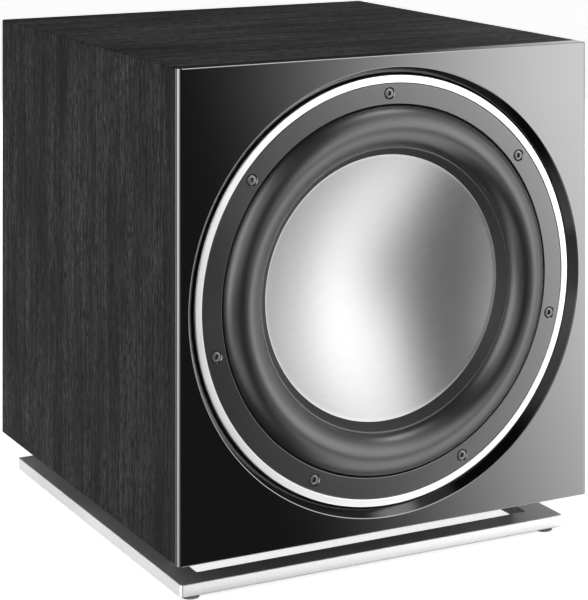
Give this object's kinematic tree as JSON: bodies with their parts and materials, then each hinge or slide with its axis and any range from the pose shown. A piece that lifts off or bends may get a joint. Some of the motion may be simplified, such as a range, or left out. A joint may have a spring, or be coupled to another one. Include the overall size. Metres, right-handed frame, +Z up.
{
  "type": "subwoofer",
  "caption": "Free-standing cube subwoofer with a gloss front, a large roll-surround driver with a concave metal dish, a rear plate amplifier and a raised open base.",
  "frame": {"origin": "on the floor, under the middle of the overall box", "axes": "+Z up; the driver faces -Y and the amplifier panel faces +Y; +X is the right-hand side seen from the front"},
  "size_m": [0.396, 0.431, 0.4355],
  "materials": {
    "veneer": "black ash veneer, upright grain, satin lacquer",
    "raw_board": "bare fibreboard",
    "gloss_black": "high-gloss black lacquer on board",
    "bright_silver": "bright satin",
    "satin_black": "satin black",
    "rubber": "satin butyl rubber",
    "brushed_silver": "finely brushed across",
    "base_silver": "satin anodised",
    "jack_metal": "nickel plated",
    "seal_foam": "closed-cell foam",
    "cast_metal": "black powder coat on cast metal",
    "cone_pulp": "pressed pulp, matt black",
    "former_film": "amber film",
    "copper": "enamelled copper wire",
    "spider_cloth": "resin-treated cloth",
    "zinc_steel": "zinc plated",
    "ferrite": "ground ferrite",
    "black_steel": "black oxide",
    "black_aluminium": "black anodised",
    "black_plastic": "fine texture",
    "lamp_lens": "tinted lens",
    "circuit_board": "solder mask",
    "winding_tape": "taped copper winding",
    "capacitor_sleeve": "shrink sleeve",
    "cable_sleeve": "soft insulation"
  },
  "bodies": {
    "cabinet": {"left_side_panel": "veneer", "right_side_panel": "veneer", "top_panel": "veneer", "bottom_panel": "veneer", "rear_panel": "veneer", "inner_baffle": "raw_board", "cabinet_brace": "raw_board", "front_baffle": "gloss_black", "trim_ring": "bright_silver", "frame_ring": "satin_black", "surround": "rubber", "rubber_foot_1": "rubber", "rubber_foot_2": "rubber", "rubber_foot_3": "rubber", "rubber_foot_4": "rubber", "base_frame": "base_silver", "line_in_left": "jack_metal", "line_in_right": "jack_metal", "woofer_gasket": "seal_foam", "amp_gasket": "seal_foam", "basket": "cast_metal", "spider": "spider_cloth", "top_plate": "zinc_steel", "pole_yoke": "zinc_steel", "magnet_ring": "ferrite", "woofer_screw_1": "black_steel", "woofer_screw_2": "black_steel", "woofer_screw_3": "black_steel", "woofer_screw_4": "black_steel", "woofer_screw_5": "black_steel", "woofer_screw_6": "black_steel", "woofer_screw_7": "black_steel", "amp_screw_1": "black_steel", "amp_screw_2": "black_steel", "amp_screw_3": "black_steel", "amp_screw_4": "black_steel", "amp_screw_5": "black_steel", "amp_screw_6": "black_steel", "base_spacer_1": "black_steel", "base_spacer_2": "black_steel", "base_spacer_3": "black_steel", "base_spacer_4": "black_steel", "amp_panel": "black_aluminium", "woofer_terminal": "black_plastic", "mains_inlet": "black_plastic", "status_lamp": "lamp_lens", "amp_board": "circuit_board", "transformer": "winding_tape", "reservoir_capacitor": "capacitor_sleeve", "driver_cable": "cable_sleeve"},
    "cone": {"cone_dish": "brushed_silver", "cone_body": "cone_pulp", "voice_coil_former": "former_film", "voice_coil_winding": "copper"},
    "volume_control": {"volume_knob": "black_plastic"},
    "crossover_control": {"crossover_knob": "black_plastic"},
    "phase_control": {"phase_knob": "black_plastic"},
    "rocker": {"power_rocker": "black_plastic"},
    "mode_lever": {"mode_switch": "black_plastic"},
    "fuse_tray": {"fuse_drawer": "black_plastic"}
  },
  "joints": [
    {"name": "cone_stroke", "type": "slide", "parent": "cabinet", "child": "cone", "axis": [0, -1, 0], "range_m": [-0.012, 0.012], "stiffness_N_per_m": 4500, "deforming": ["surround", "spider"]},
    {"name": "volume_turn", "type": "hinge", "parent": "cabinet", "child": "volume_control", "pos_m": [0.07, 0.2023, 0.22215], "axis": [0, -1, 0], "range_deg": [-150, 150]},
    {"name": "crossover_turn", "type": "hinge", "parent": "cabinet", "child": "crossover_control", "pos_m": [0.025, 0.2023, 0.22215], "axis": [0, -1, 0], "range_deg": [-150, 150]},
    {"name": "phase_turn", "type": "hinge", "parent": "cabinet", "child": "phase_control", "pos_m": [-0.02, 0.2023, 0.22215], "axis": [0, -1, 0], "range_deg": [-150, 150]},
    {"name": "power_rocker_tilt", "type": "hinge", "parent": "cabinet", "child": "rocker", "pos_m": [-0.062, 0.202, 0.16665], "axis": [1, 0, 0], "range_deg": [0, 20]},
    {"name": "mode_slide", "type": "slide", "parent": "cabinet", "child": "mode_lever", "axis": [1, 0, 0], "range_m": [-0.003, 0.003]},
    {"name": "fuse_drawer_pull", "type": "slide", "parent": "cabinet", "child": "fuse_tray", "axis": [0, 1, 0], "range_m": [0, 0.014]}
  ]
}
